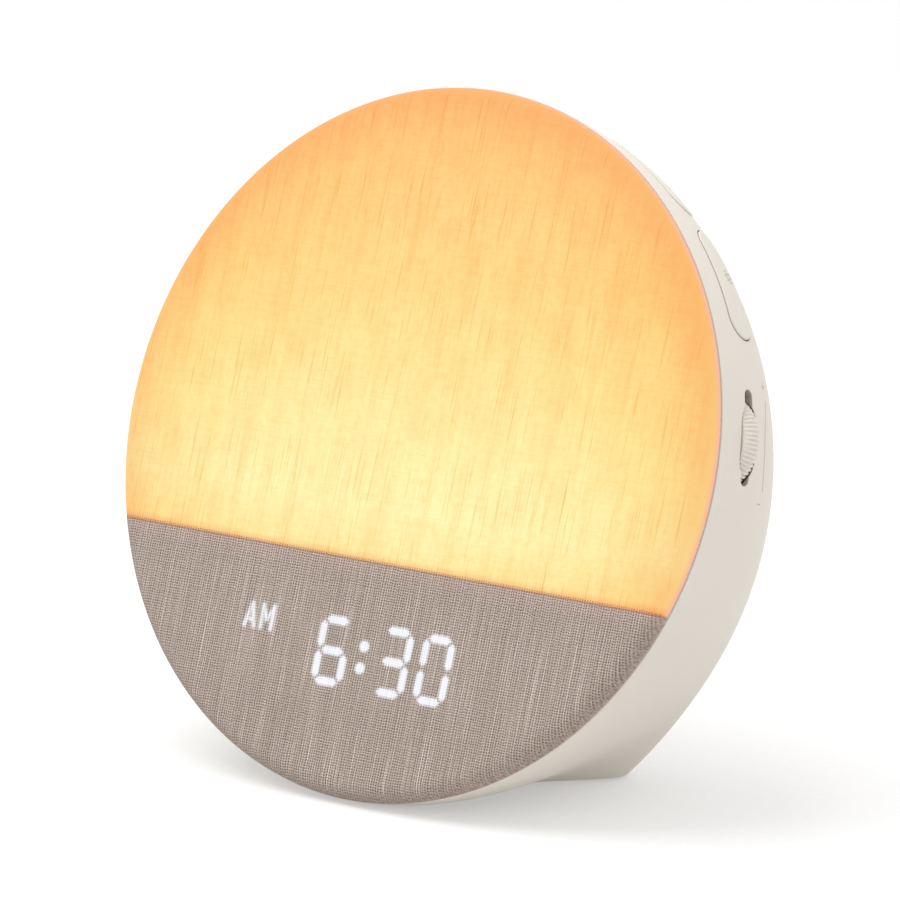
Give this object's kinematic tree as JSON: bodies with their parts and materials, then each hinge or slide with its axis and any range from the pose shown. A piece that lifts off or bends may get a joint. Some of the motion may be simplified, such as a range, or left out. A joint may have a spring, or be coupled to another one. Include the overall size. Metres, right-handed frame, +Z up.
{
  "type": "sunrise alarm clock",
  "caption": "Round bedside sunrise alarm clock: leaning woven face with a glowing upper field and a digit display, thumb dials and push buttons on its flanks.",
  "frame": {"origin": "on the table, straight below the centre of the round face where it meets the body; the underside of the rubber foot", "axes": "+Z up, the face looks along -Y and leans back, +X to the right of someone facing the clock"},
  "size_m": [0.211, 0.0992, 0.1954],
  "materials": {
    "putty_shell": "moulded ABS with a fine matte grain",
    "button_cap": "moulded ABS, smoother than the body",
    "dial": "moulded ABS with sharp ridges across the rim",
    "woven_cover": "plain-weave polyester with a linen look, stretched over the face",
    "opal_cap": "opal polycarbonate that spreads the light",
    "smoked_panel": "smoked translucent polycarbonate",
    "clear_guide": "clear acrylic with a printed dot pattern",
    "white_plastic": "white polycarbonate, reflective",
    "circuit_board": "green solder mask",
    "lamps": "phosphor-coated lamps",
    "display_light": "white light bars",
    "dark_plastic": "black polycarbonate",
    "grey_plastic": "glass-filled nylon",
    "steel": "zinc-plated",
    "switch_plunger": "moulded nylon",
    "grille": "moulded ABS, perforated",
    "basket": "black enamel",
    "surround": "soft rubber",
    "cone": "pressed black paper",
    "magnet": "ferrite",
    "foot": "soft non-slip rubber",
    "chips": "moulded packages",
    "encoder": "moulded housing",
    "inlet": "moulded socket"
  },
  "bodies": {
    "clock": {"rear_shell": "putty_shell", "face_fabric": "woven_cover", "diffuser_cap": "opal_cap", "display_panel": "smoked_panel", "light_guide": "clear_guide", "reflector_sheet": "white_plastic", "light_divider": "white_plastic", "strip_board": "white_plastic", "strip_lamps": "lamps", "back_pan": "white_plastic", "pan_screws": "steel", "display_board": "circuit_board", "digit_housing": "dark_plastic", "display_segments": "display_light", "volume_encoder": "encoder", "volume_bracket": "grey_plastic", "brightness_encoder": "encoder", "brightness_bracket": "grey_plastic", "bracket_screws": "steel", "button_switches": "dark_plastic", "button_boards": "circuit_board", "button_bracket": "grey_plastic", "speaker_grille": "grille", "speaker_basket": "basket", "speaker_surround": "surround", "speaker_cone": "cone", "speaker_magnet": "magnet", "speaker_screws": "steel", "base_cover": "putty_shell", "cover_screws": "steel", "foot_pad": "foot", "main_board": "circuit_board", "board_chips": "chips", "board_screws": "steel", "power_inlet": "inlet"},
    "volume_wheel": {"volume_dial": "dial", "volume_shaft": "steel"},
    "brightness_wheel": {"brightness_dial": "dial", "brightness_shaft": "steel"},
    "lower_key": {"lower_button": "button_cap", "lower_plunger": "switch_plunger"},
    "upper_key": {"upper_button": "button_cap", "upper_plunger": "switch_plunger"}
  },
  "joints": [
    {"name": "volume_turn", "type": "hinge", "parent": "clock", "child": "volume_wheel", "pos_m": [0.09104, 0.01696, 0.10815], "axis": [0, -0.9426, 0.3338], "continuous": true},
    {"name": "brightness_turn", "type": "hinge", "parent": "clock", "child": "brightness_wheel", "pos_m": [-0.09104, 0.01696, 0.10815], "axis": [0, -0.9426, 0.3338], "continuous": true},
    {"name": "lower_press", "type": "slide", "parent": "clock", "child": "lower_key", "axis": [-0.779, -0.359, -0.5141], "range_m": [0, 0.0008], "stiffness_N_per_m": 1500, "springref_m": -0.0004},
    {"name": "upper_press", "type": "slide", "parent": "clock", "child": "upper_key", "axis": [-0.4605, -0.548, -0.6983], "range_m": [0, 0.0008], "stiffness_N_per_m": 1500, "springref_m": -0.0004}
  ]
}
